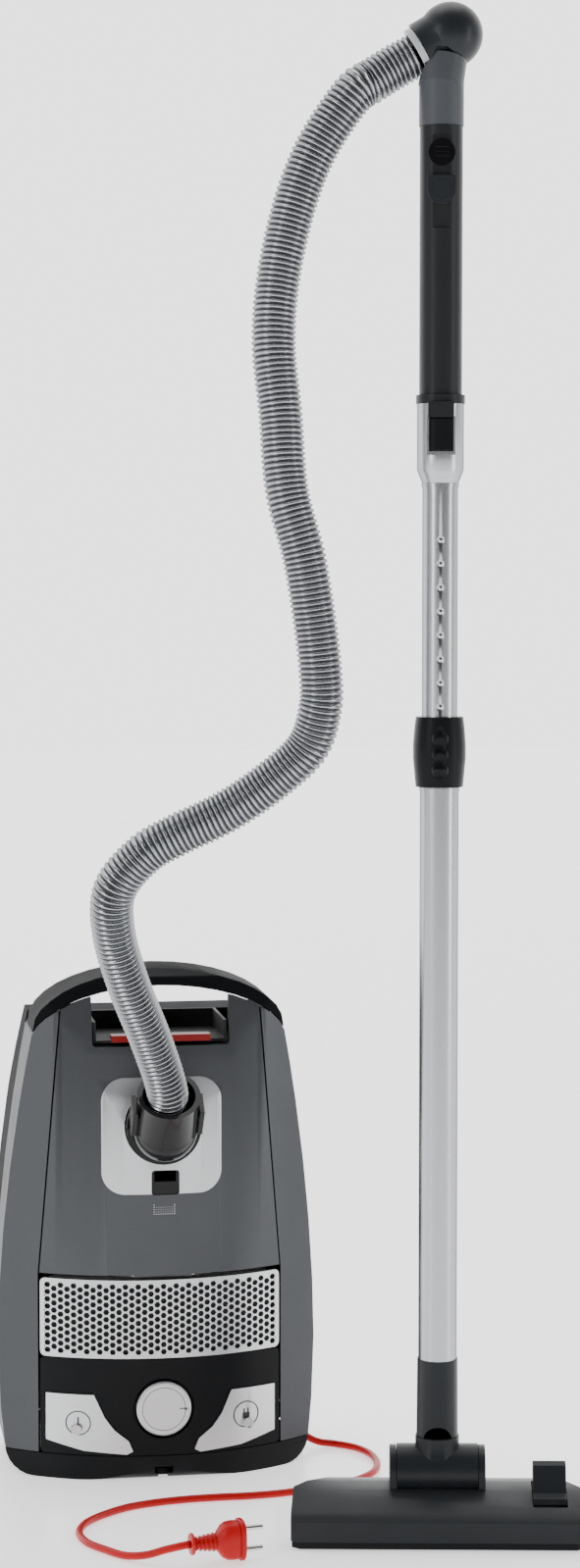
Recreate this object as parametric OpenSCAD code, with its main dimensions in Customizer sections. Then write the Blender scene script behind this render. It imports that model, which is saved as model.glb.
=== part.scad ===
// Canister vacuum cleaner in its parking position: the canister stands on its
// rear end, the wand stands upright beside it. +Z is up, -Y is the cover side.

/* [Canister] */
// Greatest width of the canister
body_w = 312; // [300:1:330]
// Depth of the canister from the cover's crown to the underside
body_d = 190; // [180:1:200]
// Radius of the crowned cover
crown_r = 240; // [225:5:300]
// Wall thickness of the shells
wall = 3; // [2:0.5:4]
// Gap between neighbouring covers
seam = 0.8; // [0.5:0.1:1]

/* [Lid] */
// Half width of the lid above the grille
lid_half = 118; // [114:1:119]
// Half width of the lid at the nose
lid_top_half = 97; // [92:1:98]
// Height of the hose port above the floor
port_z = 346; // [340:1:350]
// Outer radius of the hose connector's base
port_r = 36; // [34:0.5:38]

/* [Panel] */
// Height of the exhaust grille's lower edge
grille_z0 = 119; // [115:1:122]
// Height of the exhaust grille's upper edge
grille_z1 = 199; // [196:1:200]
// Distance between two rows of grille holes
hole_pitch = 13.4; // [12.5:0.1:14]
// Height of the suction dial's centre
dial_z = 70; // [68:1:72]
// Radius of the suction dial
dial_r = 26.5; // [24:0.5:28]

/* [Wand] */
// Distance of the wand from the canister's centre, to the right
wand_x = 228; // [220:1:240]
// Distance of the wand in front of the canister's centre
wand_y = -293; // [-310:1:-280]
// Outer diameter of the lower tube
lower_tube_d = 35; // [34:0.5:36]
// Outer diameter of the upper tube
upper_tube_d = 32; // [31:0.2:32.2]
// Width of the floor head
head_w = 266; // [250:1:280]

/* [Hose and cord] */
// Outer diameter of the hose
hose_d = 40; // [36:1:42]
// Diameter of the mains cord
cord_d = 7; // [6:0.5:8]

/* [Hidden] */

top_z = 493;
nose_z = 438;
nose_half = 122;
widest_z = 123;
nose_back = 34;
slope_z = 290;
under_slope_z = 330;
nose_lift = 50;
corner_r = 26;
edge_r = 14;
split_y = 25;
bumper_z = 23.6;
panel_z0 = 24.4;
panel_half = 117;
crown_y = crown_r - body_d / 2;
ground_y = body_d / 2 + 14;
wheel_z = 95;
wheel_x = 112;
wheel_r = 42;
wheel_w = 24;
caster_z = 396;
caster_r = 16;
motor_x = 38;
motor_y = 6;
reel_x = -62;
reel_z = 98;
lid_z0 = 200;
lid_z1 = 454;
lid_axis_y = -89.5;
notch_half = 62;
notch_z = 427;
connector_tilt = 50;
elbow_y = -112;
handle_gap = 0.4;
wand_yaw = -10;
pivot_z = 58;
pivot_r = 23;
pivot_w = 74;
cheek_w = 6;
sleeve_z0 = 684;
ball_z = 1354;
nose_cover_z = 444;
pedal_gap = 0.8;
pedal_outline = [[-112, 84], [-67, 84], [-57, 62], [-48, 50], [-34, 39],
    [-30, 29], [-36, 26], [-77, 29], [-112, 38]];
lens = 180;

// The hose leaves the connector, drops forward of the lid, rises in an S and
// reaches the ball at the handle.
hose_route = [[0, -128, 365.5], [-3, -148, 392], [-20, -172, 440], [-45, -201, 500],
    [-60, -222, 550], [-60, -238, 590], [-35, -248, 622], [-5, -254, 640], [40, -261, 662], [80, -270, 690],
    [110, -280, 720], [120, -288, 755], [120, -290, 785], [115, -290, 830],
    [105, -290, 890], [90, -286, 950], [85, -280, 1020], [80, -275, 1080],
    [85, -271, 1140], [100, -270, 1205], [120, -272, 1255], [150, -277, 1300],
    [168, -276, 1313], [187, -276.5, 1325], [206, -279, 1335.5]];
// The cord leaves the rear bumper, loops on the floor and ends in the plug.
cord_route = [[151, -4, 14], [158, -5, 9], [168, -6, 5], [183, -10, 3.6], [201, -27, 3.6],
    [211, -52, 3.6], [212, -81, 3.6], [205, -107, 3.6], [191, -127, 3.6], [172, -142, 3.6],
    [137, -157, 3.6], [105, -167, 3.6], [73, -171, 3.6], [43, -171, 3.6], [12, -173, 3.6],
    [-18, -179, 3.6], [-46, -190, 3.6], [-72, -211, 3.6], [-88, -231, 3.6],
    [-96, -252, 3.6], [-97, -270, 3.6], [-92, -291, 3.6], [-79, -312, 3.6],
    [-63, -333, 4], [-46, -347, 8], [-30, -354, 14], [-16, -358, 18], [-8, -359, 19.5]];
plug_at = [-8, -359, 19.5];
plug_turn = 10;

function below(z) = (widest_z - z) / widest_z;
function above(z) = (z - widest_z) / (nose_z - widest_z);
function side_half(z) = z < widest_z
    ? body_w / 2 - 10 * pow(below(z), 2)
    : body_w / 2 - (body_w / 2 - nose_half) * pow(above(z), 1.8);
function front_y(z) = -body_d / 2
    + nose_back * pow(max(0, z - slope_z) / (top_z - slope_z), 2);
function back_y(z) = body_d / 2
    - nose_lift * pow(max(0, z - under_slope_z) / (top_z - under_slope_z), 1.6);
function crown_front(x) = crown_y - sqrt(crown_r * crown_r - x * x);

right_side = concat(
    [for (a = [-90:15:0]) [side_half(corner_r) - corner_r + corner_r * cos(a),
        corner_r + corner_r * sin(a)]],
    [for (z = [60, 123, 180, 240, 300, 360, 400]) [side_half(z), z]],
    [for (a = [0:10:80]) [nose_half * cos(a), nose_z + (top_z - nose_z) * sin(a)]]);
body_outline = concat(right_side,
    [[0, top_z]],
    [for (i = [len(right_side) - 1:-1:0]) [-right_side[i][0], right_side[i][1]]]);
profile = concat(
    [for (a = [180:15:270]) [-body_d / 2 + edge_r + edge_r * cos(a),
        edge_r + edge_r * sin(a)]],
    [for (a = [270:15:360]) [body_d / 2 - edge_r + edge_r * cos(a),
        edge_r + edge_r * sin(a)]],
    [for (z = [330, 370, 410, 450, 480]) [back_y(z), z]],
    [[back_y(top_z) - 12, top_z + 1], [front_y(top_z) + 14, top_z + 1]],
    [for (z = [486, 460, 430, 400, 370, 340, 300]) [front_y(z), z]]);

module plan(inset) {
    rear_r = 30;
    intersection() {
        translate([0, crown_y]) circle(r = crown_r - inset, $fn = lens);
        union() {
            translate([-body_w / 2 + inset, -body_d])
                square([body_w - 2 * inset, body_d * 1.5 - rear_r]);
            translate([-body_w / 2 + rear_r, -body_d])
                square([body_w - 2 * rear_r, body_d * 1.5 - inset]);
            for (s = [-1, 1]) translate([s * (body_w / 2 - rear_r), body_d / 2 - rear_r])
                circle(r = rear_r - inset, $fn = 48);
        }
    }
}

// The canister's solid shape, made smaller all round by inset.
module block(inset = 0) {
    intersection() {
        linear_extrude(top_z + 20) plan(inset);
        translate([0, body_d, 0]) rotate([90, 0, 0])
            linear_extrude(2 * body_d) offset(delta = -inset) polygon(body_outline);
        rotate([90, 0, 90]) translate([0, 0, -body_w])
            linear_extrude(2 * body_w) offset(delta = -inset) polygon(profile);
    }
}

// Stands a drawing in X and Z up, from y0 to y1.
module upright(y0, y1) {
    translate([0, y1, 0]) rotate([90, 0, 0]) linear_extrude(y1 - y0) children();
}

module at_wand() {
    translate([wand_x, wand_y, 0]) rotate([0, 0, wand_yaw]) children();
}

module along_x(x0, x1) {
    translate([x0, 0, 0]) rotate([90, 0, 90]) linear_extrude(x1 - x0) children();
}

module disc_x(r, w) {
    rotate([0, 90, 0]) cylinder(r = r, h = w, center = true, $fn = 64);
}

module rounded(w, h, r) {
    translate([-w / 2 + r, -h / 2]) square([w - 2 * r, h]);
    translate([-w / 2, -h / 2 + r]) square([w, h - 2 * r]);
    for (x = [-1, 1], z = [-1, 1])
        translate([x * (w / 2 - r), z * (h / 2 - r)]) circle(r = r, $fn = 32);
}

module ring(r, inner, h) {
    difference() {
        cylinder(r = r, h = h, $fn = 64);
        translate([0, 0, -1]) cylinder(r = inner, h = h + 2, $fn = 64);
    }
}

// ---- swept cord and hose ----
function unit(v) = v / norm(v);
function spline(p, i, t) =
    let (a = p[max(i - 1, 0)], b = p[i], c = p[i + 1], d = p[min(i + 2, len(p) - 1)])
    0.5 * ((2 * b) + (c - a) * t + (2 * a - 5 * b + 4 * c - d) * t * t
        + (3 * b - a - 3 * c + d) * t * t * t);
function fine(p, n) = concat(
    [for (i = [0:len(p) - 2], k = [0:n - 1]) spline(p, i, k / n)], [p[len(p) - 1]]);
module swept(path, r, sides) {
    n = len(path);
    dirs = [for (i = [0:n - 1]) unit(path[min(i + 1, n - 1)] - path[max(i - 1, 0)])];
    sidewards = [for (d = dirs) unit(cross(d, abs(d[2]) > 0.9 ? [0, 1, 0] : [0, 0, 1]))];
    steady = [for (i = 0, s = sidewards[0]; i < n;
        i = i + 1, s = i < n ? unit(s - dirs[i] * (s * dirs[i])) : s) s];
    rings = [for (i = [0:n - 1], k = [0:sides - 1])
        path[i] + r * cos(360 * k / sides) * steady[i]
            + r * sin(360 * k / sides) * cross(dirs[i], steady[i])];
    skin = [for (i = [0:n - 2], k = [0:sides - 1])
        [i * sides + k, i * sides + (k + 1) % sides,
            (i + 1) * sides + (k + 1) % sides, (i + 1) * sides + k]];
    polyhedron(rings, concat([for (f = skin) [f[3], f[2], f[1], f[0]]],
        [[for (k = [0:sides - 1]) k], [for (k = [sides - 1:-1:0]) (n - 1) * sides + k]]));
}

// ---- canister: shells ----
module wheel_space(extra, w) {
    for (s = [-1, 1]) translate([s * wheel_x, ground_y - wheel_r, wheel_z])
        disc_x(wheel_r + extra, w);
}
module lower_housing() {
    color([0.17, 0.18, 0.19]) difference() {
        union() {
            difference() {
                block(0);
                block(wall);
            }
            intersection() {
                block(1);
                union() {
                    wheel_space(6, wheel_w + 10);
                    upright(back_y(caster_z) - 26, 100)
                        translate([0, caster_z]) circle(r = 36, $fn = 64);
                }
            }
        }
        wheel_space(3.5, wheel_w + 5);
        upright(back_y(caster_z) - 23, 120)
            translate([0, caster_z]) circle(r = 33, $fn = 64);
        translate([-200, -200, -5]) cube([400, 200 + split_y, 600]);
        translate([-200, -200, -5]) cube([400, 400, 5 + panel_z0]);
        translate([-200, -200, nose_cover_z]) cube([400, 400, 100]);
        for (s = [-1, 1]) translate([s * wheel_x, ground_y - wheel_r, wheel_z])
            disc_x(4, wheel_w + 14);
        translate([0, back_y(caster_z) - 40, caster_z]) rotate([-90, 0, 0])
            cylinder(r = 5.05, h = 40, $fn = 48);
        for (s = [-1, 1], z = [160, 330]) translate([s * 60, 80, z])
            rotate([-90, 0, 0]) cylinder(r = 4.2, h = 30, $fn = 32);
    }
    color([0.17, 0.18, 0.19]) intersection() {
        block(0.4);
        translate([-200, 15.2, nose_cover_z - wall - 0.2]) cube([400, 200, wall]);
        translate([-nose_half + 4, 0, 0]) cube([2 * nose_half - 8, 200, 500]);
    }
}
module seam_line(inset) {
    polygon([[lid_half + inset, -10], [lid_half + inset, lid_z0],
        [lid_top_half + inset, lid_z1 + 2], [lid_top_half + inset - 2, 480],
        [200, 480], [200, -10]]);
}
module side_panel() {
    difference() {
        block(0);
        block(wall);
        translate([-300, split_y - seam / 2, -5]) cube([600, 300, 600]);
        translate([-300, -200, -5]) cube([600, 400, 5 + panel_z0]);
        upright(-200, 200) difference() {
            translate([-200, -10]) square([400, 560]);
            seam_line(seam);
        }
        upright(-200, 200) arch_space(-seam);
    }
}
module side_panel_right() { color([0.42, 0.43, 0.45]) side_panel(); }
module side_panel_left() { color([0.42, 0.43, 0.45]) mirror([1, 0, 0]) side_panel(); }

// Everything above the line where the black arch begins.
module arch_space(grow) {
    difference() {
        translate([-200, nose_z - 6]) square([400, 100]);
        polygon([for (a = [0:9:180])
            [(lid_top_half + 28 + grow) * cos(a), 424 + (54 + grow) * sin(a)]]);
    }
}
module carry_handle() {
    bar_y = 8;
    color([0.13, 0.14, 0.15]) difference() {
        intersection() {
            block(0);
            upright(-200, 200) arch_space(0);
        }
        translate([-notch_half, -200, 300]) cube([2 * notch_half, 400, 168]);
        translate([-300, bar_y, 300]) cube([600, 300, 300]);
        upright(-200, 200) polygon([for (a = [0:9:180])
            [notch_half * cos(a), 467 + 10 * sin(a)]]);
    }
}
module handle_recess() {
    color([0.09, 0.09, 0.1]) difference() {
        intersection() {
            block(wall + 0.6);
            translate([-notch_half - 3, -70, notch_z - 4])
                cube([2 * notch_half + 6, 60 + split_y, nose_cover_z - notch_z + 4]);
        }
        translate([-notch_half, -80, notch_z - 1]) cube([2 * notch_half, 92, 60]);
    }
}
module rear_bumper() {
    color([0.12, 0.13, 0.14]) difference() {
        block(0);
        translate([-200, -200, bumper_z]) cube([400, 400, 500]);
        translate([0, 0, 6]) linear_extrude(40) plan(6);
        translate([-5, -120, -1]) cube([10, 44, 8]);
        translate([-9, -120, 6]) cube([18, 40, 7]);
        translate([130, -4, 14]) rotate([0, 90, 0]) cylinder(r = 8.05, h = 40, $fn = 48);
    }
}

// ---- canister: inside ----
module dust_chamber() {
    half = 92;
    color([0.2, 0.2, 0.21]) difference() {
        translate([-half, -52, 206]) cube([2 * half, 104, 214]);
        translate([-half + 2.5, -60, 208.5]) cube([2 * half - 5, 109.5, 209]);
        for (x = [0:4], y = [0:3]) translate([motor_x - 28 + 14 * x, -24 + 14 * y, 200])
            cylinder(r = 4.5, h = 12, $fn = 24);
    }
    color([0.2, 0.2, 0.21]) for (s = [-1, 1]) difference() {
        union() {
            translate([s * 33, lid_axis_y, lid_z0]) disc_x(2.1, 5);
            translate([s * 33 - 2.5, lid_axis_y, lid_z0]) cube([5, 4, 7.5]);
            translate([s * 33 - 2.5, lid_axis_y + 1, lid_z0 + 4.5]) cube([5, 38.5, 3]);
        }
        translate([0, lid_axis_y, lid_z0]) disc_x(1.2, 90);
    }
}
module chamber_seal() {
    color([0.1, 0.1, 0.1]) upright(-56, -52) difference() {
        translate([0, 313]) rounded(184, 214, 6);
        translate([0, 313]) rounded(176, 206, 4);
        for (s = [-1, 1]) translate([s * 33 - 3, 200]) square([6, 7.8]);
    }
}
module dust_bag() {
    color([0.85, 0.82, 0.75]) translate([0, 6, 312]) hull()
        for (x = [-1, 1], y = [-1, 1], z = [-1, 1])
            translate([x * 62, y * 22, z * 76]) sphere(r = 20, $fn = 24);
}
module bag_plate() {
    color([0.75, 0.62, 0.42]) difference() {
        upright(-45, -41) translate([0, 330]) rounded(120, 130, 8);
        translate([0, -60, port_z]) rotate([-90, 0, 0]) cylinder(r = 24, h = 40, $fn = 64);
    }
}
module motor_housing() {
    color([0.8, 0.8, 0.78]) translate([motor_x, motor_y, 0]) difference() {
        union() {
            translate([0, 0, 60]) cylinder(r = 36, h = 80, $fn = 64);
            translate([0, 0, 139]) cylinder(r = 46, h = 50, $fn = 64);
        }
        translate([0, 0, 63]) cylinder(r = 33, h = 80, $fn = 64);
        translate([0, 0, 142]) cylinder(r = 43.5, h = 44.5, $fn = 64);
        translate([0, 0, 180]) cylinder(r = 16, h = 20, $fn = 48);
        translate([0, 0, 55]) cylinder(r = 4.05, h = 20, $fn = 32);
        for (a = [0:45:315]) rotate([0, 0, a]) translate([28, -4, 80]) cube([14, 8, 20]);
    }
}
module motor_rotor() {
    color([0.6, 0.45, 0.3]) translate([motor_x, motor_y, 0]) {
        translate([0, 0, 58]) cylinder(r = 4, h = 118, $fn = 32);
        translate([0, 0, 78]) cylinder(r = 22, h = 50, $fn = 48);
        translate([0, 0, 147]) cylinder(r = 40, h = 2, $fn = 64);
        difference() {
            translate([0, 0, 160]) cylinder(r = 40, h = 2, $fn = 64);
            translate([0, 0, 159]) cylinder(r = 14, h = 4, $fn = 48);
        }
        for (a = [0:40:320]) rotate([0, 0, a]) translate([15, -0.8, 148.5])
            cube([24, 1.6, 12]);
    }
}
module motor_mounts() {
    color([0.08, 0.08, 0.08]) translate([motor_x, motor_y, 0]) {
        translate([0, 0, 50]) ring(30, 12, 10);
        translate([0, 0, 189]) ring(40, 26, 8.4);
    }
}
module filters() {
    color([0.25, 0.27, 0.3]) translate([motor_x, -3, 202.2]) cube([78, 60, 7], center = true);
    color([0.9, 0.9, 0.88]) difference() {
        translate([-106, -62, 124]) cube([212, 14, 70]);
        for (i = [0:19]) translate([-102 + 10.4 * i, -63, 128]) cube([6.5, 11, 62]);
    }
}
module exhaust_grille() {
    hole_r = 5;
    columns = 8;
    rows = 5;
    step = 13;
    color([0.78, 0.79, 0.8]) difference() {
        intersection() {
            difference() {
                block(0);
                block(2.4);
            }
            upright(-110, -50) translate([0, (grille_z0 + grille_z1) / 2])
                rounded(2 * panel_half, grille_z1 - grille_z0 - 0.8, 5);
        }
        upright(-120, -50) for (i = [-columns:columns], k = [0:rows - 1])
            translate([i * step, grille_z0 + 9 + hole_pitch * (k + (i % 2 == 0 ? 0 : 0.5))])
                circle(r = hole_r, $fn = 6);
        translate([0, lid_axis_y, lid_z0]) disc_x(6.8, 90);
    }
}
module control_panel() {
    color([0.12, 0.13, 0.14]) difference() {
        intersection() {
            union() {
                difference() {
                    block(0.4);
                    block(wall);
                }
                intersection() {
                    block(0.4);
                    translate([0, -94.5, dial_z]) rotate([-90, 0, 0])
                        cylinder(r = dial_r + 6, h = 13, $fn = lens);
                }
            }
            upright(-120, -50) translate([0, (panel_z0 + grille_z0 - seam) / 2])
                rounded(2 * panel_half, grille_z0 - seam - panel_z0, 4);
        }
        translate([0, -120, dial_z]) rotate([-90, 0, 0])
            cylinder(r = dial_r + 3, h = 35, $fn = lens);
        translate([0, -90, dial_z]) rotate([-90, 0, 0]) cylinder(r = 4.1, h = 20, $fn = 32);
        for (s = [-1, 1]) upright(-120, -50) pedal_opening(s);
    }
}
module pedal_opening(side) {
    scale([side, 1]) offset(delta = pedal_gap) polygon(pedal_outline);
}
module pedal() {
    intersection() {
        translate([0, crown_y, 0]) difference() {
            cylinder(r = crown_r + 1.5, h = 120, $fn = lens);
            translate([0, 0, -1]) cylinder(r = crown_r - 5, h = 130, $fn = lens);
        }
        upright(-120, -40) polygon(pedal_outline);
    }
    translate([-84, -86, 50]) rotate([-90, 0, 0]) cylinder(r = 5, h = 20, $fn = 32);
}
module power_pedal() {
    color([0.78, 0.79, 0.8]) difference() {
        pedal();
        upright(-100, crown_front(82) - 0.9) translate([-82, 56]) difference() {
            circle(r = 12, $fn = 64);
            circle(r = 11, $fn = 64);
        }
    }
}
module rewind_pedal() {
    color([0.78, 0.79, 0.8]) mirror([1, 0, 0]) difference() {
        pedal();
        upright(-100, crown_front(82) - 0.9) translate([-82, 58]) difference() {
            circle(r = 13, $fn = 64);
            circle(r = 12, $fn = 64);
        }
    }
}
module suction_dial() {
    color([0.82, 0.83, 0.84]) translate([0, 0, dial_z]) rotate([90, 0, 0]) difference() {
        union() {
            translate([0, 0, 86]) cylinder(r = dial_r, h = 9, $fn = lens);
            translate([0, 0, 95]) cylinder(r1 = dial_r, r2 = dial_r - 1.5, h = 1.5, $fn = lens);
            translate([0, 0, 62]) cylinder(r = 4, h = 25, $fn = 32);
        }
        translate([dial_r - 5, 0, 94]) cylinder(r = 1.6, h = 5, $fn = 24);
    }
}
module circuit_board() {
    color([0.15, 0.4, 0.2]) translate([-60, -61, 36]) cube([120, 1.6, 60]);
    color([0.1, 0.1, 0.1]) {
        translate([-7, -59.4, dial_z - 8]) cube([14, 8, 16]);
        translate([25, -59.4, 44]) cube([22, 10, 14]);
        translate([-50, -59.4, 42]) cube([20, 8, 12]);
    }
}
module cord_reel() {
    color([0.85, 0.85, 0.83]) translate([reel_x, 0, reel_z]) rotate([90, 0, 0]) difference() {
        union() {
            translate([0, 0, -4]) cylinder(r = 46, h = 2, $fn = 64);
            translate([0, 0, 40]) cylinder(r = 46, h = 2, $fn = 64);
            translate([0, 0, -4]) cylinder(r = 20, h = 46, $fn = 64);
        }
        translate([0, 0, -10]) cylinder(r = 6.05, h = 60, $fn = 48);
    }
}
module wound_cord() {
    color([0.75, 0.15, 0.15]) translate([reel_x, 0, reel_z]) rotate([90, 0, 0])
        translate([0, 0, -1.8]) ring(42, 20.2, 41.6);
}
module reel_frame() {
    color([0.3, 0.3, 0.31]) translate([reel_x, 0, reel_z]) rotate([90, 0, 0]) {
        translate([0, 0, -14]) cylinder(r = 6, h = 60, $fn = 48);
        translate([0, 0, -14]) cylinder(r = 30, h = 8, $fn = 64);
        translate([-5, -60, -14]) cube([10, 60, 8]);
    }
}
module rear_wheel(side) {
    translate([side * wheel_x, ground_y - wheel_r, wheel_z]) rotate([0, 90, 0])
        translate([0, 0, -wheel_w / 2]) difference() {
            union() {
                ring(wheel_r - 5, wheel_r - 12, wheel_w);
                translate([0, 0, 4]) cylinder(r = wheel_r - 11, h = wheel_w - 8, $fn = 64);
                cylinder(r = 9, h = wheel_w, $fn = 48);
            }
            translate([0, 0, -1]) cylinder(r = 4.05, h = wheel_w + 2, $fn = 48);
        }
}
module wheel_left() { color([0.3, 0.31, 0.32]) rear_wheel(-1); }
module wheel_right() { color([0.3, 0.31, 0.32]) rear_wheel(1); }
module tyre_left() { tyre(-1); }
module tyre_right() { tyre(1); }
module tyre(side) {
    color([0.07, 0.07, 0.07])
        translate([side * wheel_x - wheel_w / 2, ground_y - wheel_r, wheel_z])
            rotate([0, 90, 0]) ring(wheel_r, wheel_r - 5, wheel_w);
}
module steel_pins() {
    color([0.7, 0.7, 0.7]) {
        for (s = [-1, 1]) translate([s * wheel_x, ground_y - wheel_r, wheel_z])
            disc_x(4, wheel_w + 14);
        translate([0, lid_axis_y, lid_z0]) disc_x(1.2, 71);
    }
}
module caster_fork() {
    plate_y = back_y(caster_z) - 20;
    color([0.2, 0.2, 0.21]) {
        translate([0, plate_y - 8, caster_z]) rotate([-90, 0, 0])
            cylinder(r = 5, h = 9, $fn = 48);
        translate([0, plate_y, caster_z]) rotate([-90, 0, 0]) cylinder(r = 24, h = 4, $fn = 64);
        difference() {
            for (s = [-1, 1]) translate([s * 12 - 1.5, plate_y + 3, caster_z - 20])
                cube([3, ground_y - 6 - plate_y - 3, 22]);
            translate([0, ground_y - caster_r, caster_z - 10]) disc_x(2.05, 40);
        }
    }
    color([0.7, 0.7, 0.7]) translate([0, ground_y - caster_r, caster_z - 10]) disc_x(2, 29);
}
module caster_wheel() {
    color([0.1, 0.1, 0.1]) translate([0, ground_y - caster_r, caster_z - 10]) difference() {
        disc_x(caster_r, 18);
        disc_x(2.06, 20);
    }
}
module housing_screws() {
    color([0.6, 0.6, 0.6]) for (s = [-1, 1], z = [160, 330]) translate([s * 60, 88, z])
        rotate([-90, 0, 0]) difference() {
            union() {
                cylinder(r = 4, h = 2.6, $fn = 32);
                translate([0, 0, -24]) cylinder(r = 1.8, h = 25, $fn = 24);
            }
            translate([-2.5, -0.5, 1.4]) cube([5, 1, 3]);
            translate([-0.5, -2.5, 1.4]) cube([1, 5, 3]);
        }
}

// ---- lid ----
module lid_outline(inset) {
    difference() {
        polygon([[-lid_half + inset, lid_z0 + inset], [lid_half - inset, lid_z0 + inset],
            [lid_top_half - inset, lid_z1], [lid_top_half - 4 - inset, 500],
            [-lid_top_half + 4 + inset, 500], [-lid_top_half + inset, lid_z1]]);
        translate([0, notch_z - 5.2 - inset + 100]) rounded(2 * notch_half + 8 + 2 * inset, 200, 4);
        arch_space(-handle_gap - inset);
    }
}
module dust_lid() {
    color([0.42, 0.43, 0.45]) difference() {
        union() {
            intersection() {
                block(0);
                upright(-110, -64) lid_outline(0.6);
            }
            translate([0, lid_axis_y, lid_z0]) disc_x(2.6, 56);
        }
        intersection() {
            block(wall);
            upright(-120, -60) lid_outline(0.6 + 2.4);
            translate([-200, -200, lid_z0 + 3]) cube([400, 400, 400]);
        }
        upright(-120, -60) translate([-1, port_z - 10]) rounded(104, 96, 12);
        upright(-120, -60) translate([2, 291]) rounded(27, 24, 3);
        translate([0, lid_axis_y, lid_z0]) disc_x(1.24, 400);
        for (s = [-1, 1]) translate([s * 33 - 3.2, -91.9, lid_z0 - 5]) cube([6.4, 60, 14]);
    }
}
module plate_outline(w, h) {
    translate([-1, port_z - 10]) rounded(w, h, 22);
}
module connector_plate() {
    color([0.8, 0.81, 0.82]) difference() {
        union() {
            difference() {
                intersection() {
                    block(-1.2);
                    upright(-120, -60) plate_outline(116, 112);
                }
                block(-0.05);
            }
            difference() {
                intersection() {
                    block(-0.2);
                    upright(-120, -60) translate([-1, port_z - 10]) rounded(103.4, 95.4, 12);
                }
                block(2.4);
            }
            translate([0, -93, port_z]) rotate([-90, 0, 0])
                cylinder(r = port_r + 1.9, h = 8, $fn = lens);
        }
        translate([0, -120, port_z]) rotate([-90, 0, 0])
            cylinder(r = port_r + 1.2, h = 80, $fn = lens);
        upright(-120, -70) translate([2, 291]) rounded(27, 24, 3);
    }
}
module port_ring() {
    color([0.06, 0.06, 0.065]) translate([0, 0, port_z]) rotate([90, 0, 0]) difference() {
        translate([0, 0, 58]) cylinder(r = port_r + 1.1, h = 34, $fn = lens);
        translate([0, 0, 72]) cylinder(r = port_r - 3.95, h = 30, $fn = lens);
        translate([0, 0, 50]) cylinder(r = 24, h = 40, $fn = lens);
    }
}
module bag_window() {
    color([0.1, 0.1, 0.11]) difference() {
        upright(-93.4, -84) translate([2, 291]) rounded(26.4, 23.4, 3);
        for (i = [-2:2]) translate([2 + 4.5 * i - 1.2, -95, 292]) cube([2.4, 4, 12]);
    }
}
module lid_latch() {
    color([0.75, 0.12, 0.12]) translate([0, -73, notch_z]) {
        translate([-48, -8, 1]) cube([96, 16, 4]);
        translate([-48, -8, -1.5]) cube([96, 2, 4]);
    }
}

// ---- hose end on the canister ----
module connector_axis() {
    translate([0, elbow_y, port_z]) rotate([90 - connector_tilt, 0, 0]) children();
}
module hose_connector() {
    sleeve_r = port_r - 4;
    color([0.06, 0.06, 0.065]) difference() {
        union() {
            translate([0, -93, port_z]) rotate([90, 0, 0])
                cylinder(r = port_r, h = 11, $fn = lens);
            translate([0, -74, port_z]) rotate([90, 0, 0])
                cylinder(r = sleeve_r, h = 20, $fn = lens);
            intersection() {
                connector_axis() {
                    sphere(r = 31, $fn = lens);
                    translate([0, 0, 0.1]) cylinder(r = 30, h = 49.9, $fn = lens);
                }
                translate([-100, -300, 200]) cube([200, 300 - 93.2, 400]);
            }
        }
        connector_axis() translate([0, 0, 14]) cylinder(r = 25, h = 60, $fn = lens);
        connector_axis() cylinder(r = 18, h = 60, $fn = lens);
        connector_axis() sphere(r = 18, $fn = 64);
        translate([0, -60, port_z]) rotate([90, 0, 0])
            cylinder(r = 26, h = -60 - elbow_y, $fn = lens);
        for (s = [-1, 1]) connector_axis() translate([s * 32 - 5, -13, 4]) cube([10, 26, 34]);
    }
}
module tab(side) {
    color([0.05, 0.05, 0.055]) connector_axis() difference() {
        translate([side * 31.7 - 2.3, -12, 5]) cube([4.6, 24, 32]);
        for (k = [0:5]) translate([side * 34 - 1, -13, 8 + 5 * k]) cube([2, 26, 2]);
    }
}
module tab_left() { tab(-1); }
module tab_right() { tab(1); }
module hose() {
    color([0.7, 0.71, 0.72]) swept(fine(hose_route, 3), hose_d / 2, 12);
}

// ---- cord ----
module mains_cord() {
    color([0.8, 0.15, 0.15]) swept(fine(cord_route, 2), cord_d / 2, 10);
}
module cord_gland() {
    color([0.08, 0.08, 0.08]) translate([140, -4, 14]) rotate([0, 90, 0])
        difference() {
            union() {
                cylinder(r = 8, h = 8, $fn = 48);
                translate([0, 0, 7]) cylinder(r1 = 8, r2 = 6.5, h = 4, $fn = 48);
            }
            translate([0, 0, -1]) cylinder(r = 4.2, h = 14, $fn = 32);
        }
}
module at_plug() {
    translate(plug_at) rotate([0, 90, plug_turn]) children();
}
module plug_body() {
    color([0.8, 0.13, 0.13]) at_plug() {
        cylinder(r = 5, h = 8, $fn = 48);
        cylinder(r = 9.5, h = 2.4, $fn = 48);
        for (k = [0:4]) translate([0, 0, 5 + 4 * k]) cylinder(r = 6 + 0.4 * k, h = 2.2, $fn = 48);
        translate([0, 0, 6]) cylinder(r = 5, h = 20, $fn = 48);
        hull() {
            translate([0, 0, 24]) cylinder(r = 9, h = 2, $fn = 32);
            translate([0, 0, 34]) scale([1, 0.7]) cylinder(r = 17, h = 4, $fn = 48);
            translate([0, 0, 44]) scale([1, 0.74]) cylinder(r = 18.5, h = 5, $fn = 48);
        }
    }
}
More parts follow.
